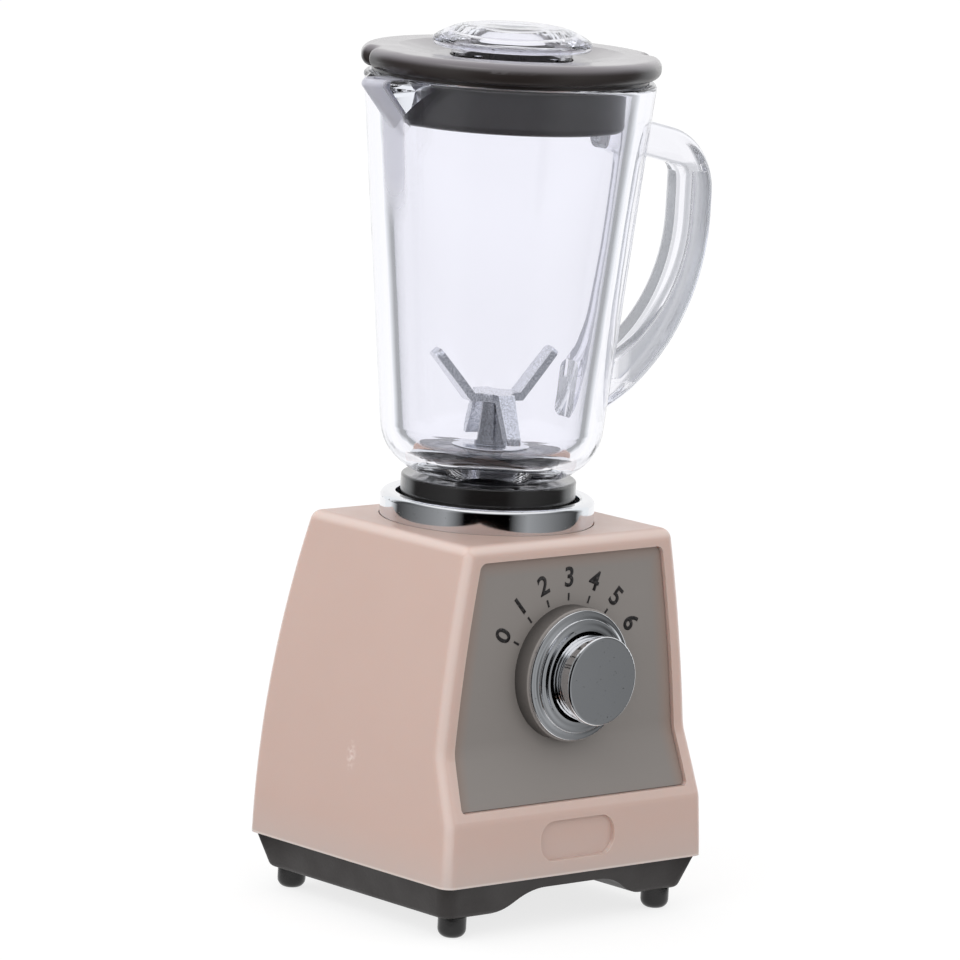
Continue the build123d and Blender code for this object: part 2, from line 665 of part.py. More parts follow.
def make_handle():
    """Handle with rounded edges and a long pocket in each side."""
    face = handle_face()
    handle = extrude(face, amount=HANDLE_WIDTH / 2, both=True)
    faces = handle.faces().sort_by(Axis.Y)
    handle = fillet(faces[0].edges() + faces[-1].edges(), HANDLE_EDGE_ROUND)
    pocket = extrude(offset(face, -HANDLE_POCKET_INSET), amount=HANDLE_WIDTH, both=True)
    pocket -= extrude(face, amount=HANDLE_WIDTH / 2 - HANDLE_POCKET_DEPTH, both=True)
    high = JUG_TOP - HANDLE_POCKET_TOP
    low = JUG_TOP - HANDLE_POCKET_FOOT
    window = Pos(0, 0, (high + low) / 2) * Box(FAR * 2, FAR, high - low)
    clear_of_wall = upright(jug_radius(high), low - PAST, high + PAST)
    return handle - ((pocket & window) - clear_of_wall)


def mouth_cone():
    """Cone that bevels the inner edge of the jug's mouth."""
    low = JUG_TOP - JUG_MOUTH_CHAMFER
    high = JUG_TOP + PAST
    radius = jug_radius(low) - JUG_WALL
    return turned([(0, low), (radius, low), (radius + high - low, high), (0, high)])


def make_jar():
    """Clear jug with its spout, handle, floor hole and the spigot that the collar takes."""
    outer = cup_solid(JUG_FOOT_RADIUS, JUG_TOP_RADIUS, JUG_BOTTOM, JUG_TOP, JUG_FOOT_ROUND)
    outer = fillet(outer.edges().group_by(Axis.Z)[-1], JUG_RIM_ROUND)
    inner_foot = jug_radius(JUG_FLOOR_TOP) - JUG_WALL
    inner_top = jug_radius(JUG_TOP + PAST) - JUG_WALL
    cavity = cup_solid(inner_foot, inner_top, JUG_FLOOR_TOP, JUG_TOP + PAST, JUG_INNER_ROUND)
    spout_low = JUG_TOP - SPOUT_DROP
    spout = spout_wedge(0, spout_low, JUG_TOP, SPOUT_NOSE_ROUND)
    spout_rim = spout.faces().sort_by(Axis.Z)[-1].edges().sort_by(Axis.X)[:-1]
    jug = outer + fillet(spout_rim, JUG_RIM_ROUND) + make_handle()
    jug += upright(JUG_SPIGOT_RADIUS, SPIGOT_BOTTOM, JUG_FLOOR_TOP)
    jug -= cavity
    jug -= mouth_cone()
    jug -= spout_wedge(SPOUT_WALL, spout_low - PAST, JUG_TOP + PAST, SPOUT_INNER_ROUND)
    jug -= upright(HUB_RADIUS + HUB_CLEARANCE, SPIGOT_BOTTOM - PAST, JUG_FLOOR_TOP + PAST)
    return JUG_PLACE * jug


def make_blade_base():
    """Bright flanged hub on the jug's floor, whose tube holds jug and collar together."""
    hub = upright(HUB_RADIUS, HUB_BOTTOM, JUG_FLOOR_TOP)
    hub += crowned(FLANGE_RADIUS, JUG_FLOOR_TOP, FLANGE_TOP, FLANGE_ROUND)
    hub -= upright(JOURNAL_RADIUS + JOURNAL_CLEARANCE, HUB_BOTTOM - PAST, FLANGE_TOP + PAST)
    return JUG_PLACE * hub


def make_blade_post():
    """Tapered post with a foot ring, a journal in the hub and a groove for its clip."""
    groove_top = HUB_BOTTOM - CLIP_PLAY
    groove_bottom = groove_top - CLIP_THICKNESS - CLIP_FIT
    tip = groove_bottom - POST_TIP
    body = turned(
        [
            (0, tip),
            (JOURNAL_RADIUS, tip),
            (JOURNAL_RADIUS, groove_bottom),
            (JOURNAL_RADIUS - POST_GROOVE, groove_bottom),
            (JOURNAL_RADIUS - POST_GROOVE, groove_top),
            (JOURNAL_RADIUS, groove_top),
            (JOURNAL_RADIUS, POST_BOTTOM),
            (POST_FOOT_RADIUS, POST_BOTTOM),
            (POST_FOOT_RADIUS, POST_BOTTOM + POST_FOOT_HEIGHT),
            (POST_LOW_RADIUS, POST_BOTTOM + POST_FOOT_HEIGHT),
            (POST_HIGH_RADIUS, POST_TOP),
            (POST_SPIGOT_RADIUS, POST_TOP),
            (POST_SPIGOT_RADIUS, POST_TOP + POST_SPIGOT_HEIGHT),
            (0, POST_TOP + POST_SPIGOT_HEIGHT),
        ]
    )
    return JUG_PLACE * body


def make_post_clip():
    """Clip in the post's groove, under the hub tube."""
    bottom = HUB_BOTTOM - CLIP_PLAY - CLIP_FIT / 2 - CLIP_THICKNESS
    bore = JOURNAL_RADIUS - POST_GROOVE + CLIP_FIT
    clip = c_clip(bore, POST_CLIP_BAND, POST_CLIP_MOUTH, CLIP_THICKNESS)
    return JUG_PLACE * Pos(0, 0, bottom) * clip


def blade_arm(underside, tip_width):
    """One bent arm of the blade along the points of its underside, from the axis to a narrower tip."""
    strip = offset(Polyline(*underside), BLADE_THICKNESS, kind=Kind.INTERSECTION, side=Side.LEFT)
    side_view = Plane.XZ * Pos(0, POST_TOP) * make_face(strip)
    end = underside[-1][0]
    root_half = BLADE_WIDTH / 2
    tip_half = tip_width / 2
    plan = Polyline((0, root_half), (end, tip_half), (end, -tip_half), (0, -root_half), close=True)
    arm = extrude(side_view, amount=BLADE_WIDTH, both=True) & extrude(make_face(plan), amount=2 * FAR)
    tip = arm.faces().sort_by(Axis.X)[-1]
    corners = [edge for edge in tip.edges() if edge not in tip.edges().filter_by(Axis.Y)]
    return fillet(corners, BLADE_TIP_ROUND)


def make_blade():
    """Cross of two arms turned up and two turned down, on the post's spigot."""
    up_line = [(0, 0), (BLADE_UP_BEND, 0), (BLADE_UP_REACH, BLADE_UP_RISE)]
    down_line = [(0, 0), (BLADE_DOWN_BEND, 0), (BLADE_DOWN_REACH, -BLADE_DOWN_DROP)]
    down_line.append((BLADE_DOWN_REACH + BLADE_DOWN_TOE, -BLADE_DOWN_DROP))
    blade = upright(BLADE_HUB_RADIUS, POST_TOP, POST_TOP + BLADE_THICKNESS)
    for half_turn in (0, 180):
        blade += Rot(0, 0, half_turn) * blade_arm(up_line, BLADE_UP_TIP)
        blade += Rot(0, 0, half_turn + 90) * blade_arm(down_line, BLADE_DOWN_TIP)
    spigot_top = POST_TOP + POST_SPIGOT_HEIGHT + SPIGOT_CLEARANCE
    blade -= upright(POST_SPIGOT_RADIUS + SPIGOT_CLEARANCE, POST_TOP - PAST, spigot_top)
    return JUG_PLACE * Rot(0, 0, BLADE_TURN) * blade


def lid_plan():
    """Plan of the lid's disc: a circle with a soft notch at each end of one diameter."""
    plan = Circle(LID_RADIUS)
    away = LID_RADIUS - LID_NOTCH_DEPTH + LID_NOTCH_RADIUS
    for half_turn in (0, 180):
        plan -= Rot(0, 0, half_turn) * Pos(away, 0, 0) * Circle(LID_NOTCH_RADIUS)
    return fillet(plan.vertices(), LID_NOTCH_BLEND)


def make_lid():
    """Dark lid with a round edge, a dished top, a plug skirt and two notches in its rim."""
    skirt_bottom = LID_BOTTOM - LID_SKIRT_DEPTH
    skirt_radius = jug_radius(skirt_bottom) - JUG_WALL - LID_SKIRT_CLEARANCE
    lid = extrude(Pos(0, 0, LID_DISC_BOTTOM) * lid_plan(), amount=LID_THICKNESS)
    levels = lid.edges().group_by(Axis.Z)
    lid = fillet(levels[0] + levels[-1], LID_EDGE_ROUND)
    lid += upright(LID_STEP_RADIUS, LID_BOTTOM, LID_DISC_BOTTOM + LID_EDGE_ROUND)
    dish = turned(
        [
            (0, LID_INNER_TOP),
            (CAP_FLANGE_RADIUS, LID_INNER_TOP),
            (LID_DISH_RADIUS, LID_TOP),
            (LID_DISH_RADIUS, LID_TOP + PAST),
            (0, LID_TOP + PAST),
        ]
    )
    lid -= dish
    skirt = upright(skirt_radius, skirt_bottom, LID_DISC_BOTTOM)
    skirt = fillet(skirt.edges().group_by(Axis.Z)[0], LID_SKIRT_ROUND)
    lid += skirt
    lid -= upright(skirt_radius - LID_SKIRT_WALL, skirt_bottom - PAST, LID_BOTTOM)
    lid -= upright(CAP_NECK_RADIUS + CAP_NECK_CLEARANCE, LID_BOTTOM - PAST, LID_TOP + PAST)
    return JUG_PLACE * Rot(0, 0, LID_TURN) * lid


def cap_ceiling(radius):
    """Height of the hollow under the cap's dome, one skin below a straight line down the dome."""
    fall = (radius - CAP_CROWN_RADIUS) / (CAP_FLANGE_RADIUS - CAP_CROWN_RADIUS)
    return CAP_CROWN - CAP_DOME * fall - CAP_SKIN


def make_lid_cap():
    """Clear cap: a thin dome with a dished crown, over a slotted hollow neck."""
    rim_inside = CAP_FLANGE_RADIUS - CAP_SKIN
    crown_inside = CAP_CROWN - CAP_DISH_DEPTH - CAP_SKIN
    dome = SagittaArc((CAP_CROWN_RADIUS, CAP_CROWN), (CAP_FLANGE_RADIUS, CAP_FLANGE_TOP), CAP_DOME_BOW)
    below = Polyline(
        dome @ 1,
        (CAP_FLANGE_RADIUS, CAP_FLANGE_BOTTOM),
        (rim_inside, CAP_FLANGE_BOTTOM),
        (rim_inside, cap_ceiling(rim_inside)),
        (CAP_NECK_RADIUS, cap_ceiling(CAP_NECK_RADIUS)),
        (CAP_NECK_RADIUS, CAP_BOTTOM),
        (CAP_NECK_RADIUS - CAP_WALL, CAP_BOTTOM),
        (CAP_NECK_RADIUS - CAP_WALL, crown_inside),
        (0, crown_inside),
        (0, CAP_CROWN - CAP_DISH_DEPTH),
        (CAP_DISH_RADIUS, CAP_CROWN),
        dome @ 0,
    )
    cap = revolve(drawn(Plane.XZ, [dome, below]), Axis.Z)
    rims = cap.edges().filter_by(GeomType.CIRCLE).group_by(SortBy.RADIUS)[-1]
    cap = fillet(rims, CAP_FLANGE_ROUND)
    slot = Pos(CAP_NECK_RADIUS, 0, CAP_BOTTOM) * Box(2 * CAP_WALL, CAP_SLOT_WIDTH, 2 * CAP_SLOT_HEIGHT)
    for group in range(CAP_SLOT_GROUPS):
        middle = CAP_SLOT_TURN + 360 * group / CAP_SLOT_GROUPS
        for angle in (middle - CAP_SLOT_OFFSET, middle + CAP_SLOT_OFFSET):
            cap -= Rot(0, 0, angle) * slot
    return JUG_PLACE * Rot(0, 0, LID_TURN) * cap


def build_pieces():
    """Every piece by its node's name."""
    pieces = {
        "housing": make_housing(),
        "front_panel": make_front_panel(),
        "knob_bezel": make_knob_bezel(),
        "knob": make_knob(),
        "knob_clip": make_knob_clip(),
        "bottom_plate": make_bottom_plate(),
        "seat_ring": make_seat_ring(),
        "jar": make_jar(),
        "jar_collar": make_jar_collar(),
        "blade_base": make_blade_base(),
        "blade_post": make_blade_post(),
        "blade": make_blade(),
        "post_clip": make_post_clip(),
        "lid": make_lid(),
        "lid_cap": make_lid_cap(),
    }
    for corner, place in FOOT_PLACES.items():
        pieces["foot_" + corner] = make_foot(place)
    return pieces


os.makedirs("parts", exist_ok=True)
for name, piece in build_pieces().items():
    export_step(piece, os.path.join("parts", name + ".step"))
    print(name, round(piece.volume, 3))
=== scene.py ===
"""Finishes, dial print and studio for a doll's-house jug blender.

Everything is in metres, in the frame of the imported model, with +Z up and the knob at the front (-Y).
"""

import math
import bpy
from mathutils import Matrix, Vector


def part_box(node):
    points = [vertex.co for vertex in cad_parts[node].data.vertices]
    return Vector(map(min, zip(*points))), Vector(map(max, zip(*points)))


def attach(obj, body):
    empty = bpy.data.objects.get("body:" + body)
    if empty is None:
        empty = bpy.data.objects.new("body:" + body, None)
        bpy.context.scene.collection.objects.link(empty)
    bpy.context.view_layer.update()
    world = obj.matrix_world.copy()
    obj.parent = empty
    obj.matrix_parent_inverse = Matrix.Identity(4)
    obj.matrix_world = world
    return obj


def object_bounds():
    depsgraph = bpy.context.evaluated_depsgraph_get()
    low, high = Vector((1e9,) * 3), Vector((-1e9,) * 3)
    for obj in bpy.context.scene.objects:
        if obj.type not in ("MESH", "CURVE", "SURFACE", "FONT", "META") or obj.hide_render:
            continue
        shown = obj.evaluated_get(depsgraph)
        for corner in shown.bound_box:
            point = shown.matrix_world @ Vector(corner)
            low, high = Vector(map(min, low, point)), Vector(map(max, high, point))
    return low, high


bl_info = {
    "name": "Toy jug blender",
    "version": (1, 0, 0),
    "blender": (4, 5, 0),
    "location": "3D View > Sidebar > Toy blender",
    "description": "Finishes, dial print and studio for a doll's-house jug blender",
    "category": "Object",
}

import bmesh
import bpy
from bpy.props import FloatProperty, FloatVectorProperty, IntProperty, PointerProperty
from mathutils import Matrix, Vector
from mathutils.bvhtree import BVHTree

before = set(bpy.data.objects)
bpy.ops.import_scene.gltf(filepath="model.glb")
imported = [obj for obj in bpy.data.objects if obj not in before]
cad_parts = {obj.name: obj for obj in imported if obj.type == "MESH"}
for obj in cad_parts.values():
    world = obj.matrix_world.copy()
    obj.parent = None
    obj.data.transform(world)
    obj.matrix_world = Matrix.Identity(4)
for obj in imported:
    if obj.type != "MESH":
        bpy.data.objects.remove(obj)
CAD_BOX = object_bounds()
MM = 0.001
UP = Vector((0.0, 0.0, 1.0))


# Settings that a user may change

def linear(*screen):
    """Screen colour from 0 to 255 as the linear values that shaders use."""
    shares = [value / 255 for value in screen]
    return tuple(s / 12.92 if s <= 0.04045 else ((s + 0.055) / 1.055) ** 2.4 for s in shares)


def length(name, description, millimetres):
    """A size in scene units, given here in millimetres."""
    return FloatProperty(
        name=name, description=description, default=millimetres * MM, unit="LENGTH", precision=5
    )


def angle(name, description, degrees):
    """An angle, given here in degrees."""
    return FloatProperty(name=name, description=description, default=math.radians(degrees), subtype="ANGLE")


def share(name, description, default, most=1.0):
    """A plain number from nothing up to most."""
    return FloatProperty(
        name=name, description=description, default=default, min=0.0, max=most, subtype="FACTOR"
    )


def tint(name, description, *screen):
    """A colour, given here in screen values from 0 to 255."""
    return FloatVectorProperty(
        name=name, description=description, default=linear(*screen), size=3, min=0.0, max=1.0, subtype="COLOR"
    )


class ToyViewSettings(bpy.types.PropertyGroup):
    """Where the camera stands."""

    azimuth: angle("Azimuth", "Turn of the camera about the toy, from the front", -41.8)
    elevation: angle("Elevation", "Height of the camera above the level of its aim", 9.32)
    roll: angle("Roll", "Lean of the toy to the right in the picture", 3.14)
    distance: length("Distance", "Camera to the toy's axis", 488.7)
    aim_height: length("Aim height", "Height of the point that the camera looks at", 30.955)
    aim_left: length("Aim left", "How far the aim is moved to the picture's left", 1.114)
    lens: FloatProperty(name="Lens", description="Focal length", default=252.7, unit="CAMERA")


class ToyStudioSettings(bpy.types.PropertyGroup):
    """The white table, its light and the dark card that bright metal mirrors."""

    floor_reach: length("Floor reach", "Half width of the white table", 3000.0)
    floor_white: share("Floor white", "Share of light that the table gives back to the toy", 0.5)
    floor_shade: share("Floor shade", "Share of light that the table gives back where it is seen", 0.26)
    floor_glow: share("Floor glow", "Own light of the table where it is seen", 0.77)
    sky: share("Sky", "Level of the soft light from all round", 0.97, 2.0)
    softbox_power: FloatProperty(
        name="Softbox power", description="Power of the lamp at the left", default=1.04, min=0.0, unit="POWER"
    )
    softbox_size: length("Softbox size", "Side of the lamp", 520.0)
    softbox_distance: length("Softbox distance", "Lamp to the toy", 700.0)
    softbox_turn: angle("Softbox turn", "Turn of the lamp about the toy, from the front", -83.0)
    softbox_lift: angle("Softbox lift", "Lamp above the table, seen from the toy", 37.0)
    card_radius: length("Card radius", "Distance of the card from the toy's axis", 70.0)
    card_height: length("Card height", "Height of the card", 120.0)
    mat_radius: length("Mat radius", "How near to the toy's axis the card's mat comes", 19.0)
    dark_half: angle("Dark half", "Half width of the card's black part, about the camera", 33.0)
    grey_half: angle("Grey half", "How far round from the camera mirrors show the card", 121.0)
    glass_half: angle("Glass half", "How far round from the camera clear plastic shows the card", 136.0)
    card_soft: angle("Card softness", "How slowly the card's parts fade into each other", 5.0)
    card_near: share("Card near", "Brightness of the card beside its black part", 0.42)
    card_far: share("Card far", "Brightness of the card at its ends", 0.03)
    card_in_glass: share("Card in glass", "Brightness of the card where clear plastic shows it", 0.42)
    glass_low: length("Card fade start", "Height from which clear plastic shows the card paler", 40.0)
    glass_high: length("Card fade end", "Height from which clear plastic shows the card white", 54.0)


class ToyFinishSettings(bpy.types.PropertyGroup):
    """Colours of the mouldings, the plating and the print."""

    housing: tint("Housing", "Dusty pink plastic of the housing", 214, 186, 175)
    # Paler pink: painted highlights on the housing's corners and foot line, partly wear on the corners, and
    # the real scuff and gate mark
    housing_pale: tint("Housing corners", "Paler pink of corners, edges and scuffs", 240, 224, 217)
    # Painted light: greyer pink near the plate, for the dark plate seen through the plastic and the light
    # thrown up from the floor
    housing_foot: tint("Housing foot", "Greyer pink near the dark plate", 206, 192, 186)
    panel: tint("Panel", "Warm grey plastic of the front panel", 147, 141, 137)
    panel_edge: tint("Panel edge", "Brown cast where pink shows through the panel's edge", 160, 138, 127)
    plate: tint("Plate", "Near-black plastic of the bottom plate", 44, 39, 38)
    foot: tint("Foot", "Black plastic of the feet", 16, 14, 15)
    plating: tint("Plating", "Bright metal skin", 236, 237, 240)
    clear: tint("Clear", "Clear plastic of the jug and the cap", 250, 250, 255)
    clear_edge: tint("Clear edge", "Clear plastic seen along its surface", 226, 227, 235)
    frost: tint("Frost", "Grey of the frosted sides of the handle", 200, 202, 208)
    # Painted light: the keel is given a pale haze so that it does not show the dark that the clear keel
    # reflects
    milky: tint("Milky", "Pale haze of the spout's keel", 226, 226, 238)
    collar: tint("Collar", "Black plastic of the collar", 30, 28, 28)
    silver: tint("Silver", "Silver paint of the blade", 236, 237, 241)
    # Painted shade: the post's silver is given darker, standing in for the darker reflection on the post
    post: tint("Post", "Duller silver paint of the blade's post", 176, 177, 181)
    lid: tint("Lid", "Dark brown-black plastic of the lid", 45, 37, 35)
    # Painted sheen: a paler colour on the lid's top, standing in for the white it reflects at a low angle
    bloom: tint("Lid bloom", "Pale mauve bloom on the lid's top", 116, 110, 116)
    steel: tint("Steel", "Spring steel of the clips", 150, 150, 154)
    ink: tint("Ink", "Dial print", 40, 37, 38)


class ToyDialSettings(bpy.types.PropertyGroup):
    """Plain numbers printed round the knob."""

    steps: IntProperty(name="Steps", description="Highest number on the dial", default=6, min=1, max=9)
    spread: angle("Spread", "Angle from the first number to the last", 126.0)
    tick_gap: length("Tick gap", "Bezel to the ticks", 0.45)
    tick_length: length("Tick length", "Length of a tick", 0.55)
    tick_width: length("Tick width", "Width of a tick", 0.16)
    number_gap: length("Number gap", "Ticks to the middle of the numbers", 1.1)
    number_height: length("Number height", "Height of the numbers", 2.0)
    ink_thickness: length("Ink thickness", "How far the print stands off the panel", 0.02)


# Small helpers for nodes and meshes

# A Mix node has sockets for each kind of value: these are its amount, its two colours and its mixed colour
MIX_COLOUR_INPUTS = (0, 6, 7)
MIX_COLOUR_OUTPUT = 2

# Cosines of the turn between a face and its rounded edge, and how finely that is sampled
SMOOTH_COSINE = 0.985
EDGE_COSINE = 0.8
EDGE_SAMPLES = 6

WELD_REACH = 0.001 * MM
ROUNDING_STEPS = 3
SHARP_ANGLE = math.radians(40.0)


def feed(tree, socket, value):
    """Sets a shader input, or links it where the value is another node's output."""
    if isinstance(value, bpy.types.NodeSocket):
        tree.links.new(value, socket)
    else:
        socket.default_value = value


def add(tree, kind, inputs=None, **options):
    """Adds one shader node with its options and inputs set."""
    made = tree.nodes.new(kind)
    for option, value in options.items():
        setattr(made, option, value)
    for name, value in (inputs or {}).items():
        feed(tree, made.inputs[name], value)
    return made


def maths(tree, operation, *values):
    """One step of arithmetic on numbers or node outputs."""
    step = add(tree, "ShaderNodeMath", operation=operation)
    for socket, value in zip(step.inputs, values):
        feed(tree, socket, value)
    return step.outputs["Value"]


def vector_maths(tree, operation, *values):
    """One step of arithmetic on vectors."""
    step = add(tree, "ShaderNodeVectorMath", operation=operation)
    for socket, value in zip(step.inputs, values):
        feed(tree, socket, value)
    return step.outputs["Value" if operation in {"LENGTH", "DOT_PRODUCT"} else "Vector"]


def millimetres(tree):
    """The point on the piece, in millimetres in the toy's frame."""
    point = add(tree, "ShaderNodeTexCoord").outputs["Object"]
    return vector_maths(tree, "DIVIDE", point, (MM, MM, MM))


def xyz(tree, vector):
    """The X, Y and Z parts of a vector."""
    return add(tree, "ShaderNodeSeparateXYZ", {"Vector": vector}).outputs


def surface_normal(tree):
    """The way that the surface faces, in the toy's frame."""
    return add(tree, "ShaderNodeTexCoord").outputs["Normal"]


def middle_of(node):
    """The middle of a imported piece's box."""
    low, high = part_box(node)
    return (low + high) / 2


def noise(tree, where, grain, detail):
    """Even noise from 0 to 1 whose blotches are about a grain of millimetres wide."""
    return add(tree, "ShaderNodeTexNoise", {"Vector": where, "Scale": 1 / grain, "Detail": detail}).outputs[0]


def ramp(tree, value, start, end, low=0.0, high=1.0):
    """Low up to start, high from end, and a straight line between."""
    inputs = {"Value": value, "From Min": start, "From Max": end, "To Min": low, "To Max": high}
    return add(tree, "ShaderNodeMapRange", inputs).outputs["Result"]


def blend(tree, amount, first, second):
    """A colour that goes from the first to the second."""
    mix = add(tree, "ShaderNodeMix", data_type="RGBA")
    for place, value in zip(MIX_COLOUR_INPUTS, (amount, first, second)):
        feed(tree, mix.inputs[place], value)
    return mix.outputs[MIX_COLOUR_OUTPUT]


def rgba(colour, level=1.0):
    """A colour with full opacity, made lighter or darker by level."""
    return (*(min(channel * level, 1.0) for channel in colour), 1.0)


def bump(tree, height, depth, below=None):
    """A normal with bumps of that depth in millimetres, on top of another normal if given."""
    inputs = {"Height": height, "Distance": depth * MM}
    if below is not None:
        inputs["Normal"] = below
    return add(tree, "ShaderNodeBump", inputs).outputs["Normal"]


def spot(tree, where, centre, reach):
    """1 at the centre of an egg-shaped spot and 0 outside it, in millimetres."""
    offset = vector_maths(tree, "DIVIDE", vector_maths(tree, "SUBTRACT", where, centre), reach)
    return ramp(tree, vector_maths(tree, "LENGTH", offset), 0.0, 1.0, low=1.0, high=0.0)


def corners(tree, low=0.5, high=0.95):
    """1 on rounded corners and 0 on flat faces, told by how far the face turns away from the axes."""
    x, y, z = xyz(tree, vector_maths(tree, "ABSOLUTE", surface_normal(tree)))
    pairs = [maths(tree, "MULTIPLY", first, second) for first, second in ((x, y), (y, z), (z, x))]
    most = maths(tree, "MAXIMUM", pairs[0], maths(tree, "MAXIMUM", *pairs[1:]))
    return ramp(tree, maths(tree, "MULTIPLY", most, 2.0), low, high)


def edges(tree, reach):
    """1 along convex and concave edges, within a reach in millimetres, and 0 on smooth faces."""
    rounded = add(tree, "ShaderNodeBevel", {"Radius": reach * MM}, samples=EDGE_SAMPLES).outputs["Normal"]
    facing = add(tree, "ShaderNodeNewGeometry").outputs["Normal"]
    return ramp(tree, vector_maths(tree, "DOT_PRODUCT", rounded, facing), SMOOTH_COSINE, EDGE_COSINE)


def new_finish(name):
    """A material with its node tree and main shader."""
    finish = bpy.data.materials.new(name)
    finish.use_nodes = True
    return finish, finish.node_tree, finish.node_tree.nodes["Principled BSDF"]


def dress(finish, *nodes):
    """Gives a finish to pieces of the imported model."""
    for node in nodes:
        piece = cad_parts[node]
        piece.data.materials.clear()
        piece.data.materials.append(finish)


def soften(reach, *nodes):
    """Rounds the sharp edges of pieces by a reach in millimetres."""
    for node in nodes:
        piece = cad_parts[node]
        weld = piece.modifiers.new("weld", "WELD")
        weld.merge_threshold = WELD_REACH
        rounding = piece.modifiers.new("rounding", "BEVEL")
        rounding.width = reach * MM
        rounding.segments = ROUNDING_STEPS
        rounding.limit_method = "ANGLE"
        rounding.angle_limit = SHARP_ANGLE
        rounding.harden_normals = True


def toy(context):
    """The settings of the toy's finishes."""
    return context.scene.toy_finish


# Places and sizes of small marks, painted highlights and painted shade, in millimetres

WORN_AND_LIT_EDGE = 0.22
SCUFF_PLACE = (-12.3, 0.3, 11.7)
SCUFF_REACH = (0.8, 0.6, 1.3)
FOOT_FADE = 3.0
FOOT_LINE = 0.1
GLOW_DEPTH = 1.2
GATE_PLACE = (1.16, -9.2, 9.06)
GATE_REACH = (0.3, 0.9, 0.3)
PANEL_TOP_HALF = 8.75
PANEL_FACE = -8.68
PANEL_EDGE = 1.1
BOSS_RADIUS = 4.9
BOSS_HEIGHT = 1.3
RING_PITCH = 0.45
RING_DEPTH = 0.012
HANDLE_START = 11.0
HANDLE_FADE = 0.6
POCKET_FLOOR = 1.2
KEEL_START = (-9.5, -9.9)
KEEL_HALF_WIDTH = (1.5, 1.1)
GLINT_EDGE_REACH = 0.12
PAINT_ROUND = 0.1

# The turn of the jug on its seat, and how its plastic lets light through

JUG_TURN = math.radians(-5.0)
CLEAR_IOR = 1.49
CLEAR_ROUGHNESS = 0.01
FROST_ROUGHNESS = 0.4
KEEL_CLEARNESS = 0.35


# Finishes

def moulded(name, colour, *, gloss, grain=0.14, grain_depth=0.004, mottle=0.035, wave_depth=0.012, wear_and_light=0.12):
    """Moulded plastic: faint colour flow, a fine tooth, slow ripples, and edges a little paler, partly as
    wear and partly as a painted highlight.
    """
    finish, tree, shader = new_finish(name)
    where = millimetres(tree)
    flow = noise(tree, where, grain=7.0, detail=4.0)
    body = blend(tree, flow, rgba(colour, 1 - mottle), rgba(colour, 1 + mottle))
    # Paler edges: partly wear, partly a painted highlight where the edges catch the light
    rubbed_and_lit = maths(tree, "MULTIPLY", edges(tree, WORN_AND_LIT_EDGE), wear_and_light)
    body = blend(tree, rubbed_and_lit, body, rgba(colour, 1.6))
    tooth = noise(tree, where, grain=grain, detail=2.0)
    ripple = noise(tree, where, grain=5.0, detail=1.0)
    patches = noise(tree, where, grain=2.4, detail=5.0)
    roughness = ramp(tree, patches, 0.3, 0.7, low=gloss - 0.05, high=gloss + 0.07)
    feed(tree, shader.inputs["Base Color"], body)
    feed(tree, shader.inputs["Roughness"], roughness)
    feed(tree, shader.inputs["Normal"], bump(tree, tooth, grain_depth, bump(tree, ripple, wave_depth)))
    return finish, tree, shader, where, body


def pink_plastic(settings):
    """The housing's pink: painted highlights on its corners, partly wear as well, and along its foot line;
    greyer above the plate as painted light; with one pale scuff.
    """
    finish, tree, shader, where, body = moulded("housing_pink", settings.housing, gloss=0.34, mottle=0.02)
    # Painted highlight on the rounded corners, partly wear as well
    body = blend(tree, maths(tree, "MULTIPLY", corners(tree), 0.5), body, rgba(settings.housing_pale))
    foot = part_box("housing")[0].z / MM
    up = xyz(tree, where)["Z"]
    # Painted light near the plate: the dark plate seen through the plastic, and light from the floor
    painted_plate_light = ramp(tree, up, foot, foot + FOOT_FADE, low=0.55, high=0.0)
    body = blend(tree, painted_plate_light, body, rgba(settings.housing_foot))
    # Painted highlight: a thin pale line along the foot, where light comes through the plastic's edge
    painted_foot_glint = ramp(tree, up, foot + FOOT_LINE, foot + 2 * FOOT_LINE, low=0.6, high=0.0)
    body = blend(tree, painted_foot_glint, body, rgba(settings.housing_pale))
    scuff = spot(tree, where, SCUFF_PLACE, SCUFF_REACH)
    broken = ramp(tree, noise(tree, where, grain=0.35, detail=4.0), 0.45, 0.62)
    body = blend(tree, maths(tree, "MULTIPLY", scuff, broken), body, rgba(settings.housing_pale))
    feed(tree, shader.inputs["Base Color"], body)
    shader.inputs["Subsurface Weight"].default_value = 0.2
    shader.inputs["Subsurface Radius"].default_value = (1.0, 0.55, 0.4)
    shader.inputs["Subsurface Scale"].default_value = GLOW_DEPTH * MM
    return finish


def from_knob_axis(tree, where):
    """Distance from the knob's axis, in millimetres."""
    offset = vector_maths(tree, "SUBTRACT", where, middle_of("knob_bezel") / MM)
    return vector_maths(tree, "LENGTH", vector_maths(tree, "MULTIPLY", offset, (1.0, 0.0, 1.0)))


def along_panel_edge(tree, where):
    """How far pink shows through the panel: most at its side and top edges, and not at all further in."""
    low, high = (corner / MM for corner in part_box("front_panel"))
    across, _, up = xyz(tree, where)
    lean = (high.x - PANEL_TOP_HALF) / (high.z - low.z)
    drawn_in = maths(tree, "MULTIPLY", maths(tree, "SUBTRACT", up, low.z), lean)
    half_width = maths(tree, "SUBTRACT", high.x, drawn_in)
    from_side = maths(tree, "SUBTRACT", half_width, maths(tree, "ABSOLUTE", across))
    from_top = maths(tree, "SUBTRACT", high.z, up)
    return ramp(tree, maths(tree, "MINIMUM", from_side, from_top), 0.0, PANEL_EDGE, low=0.75, high=0.0)


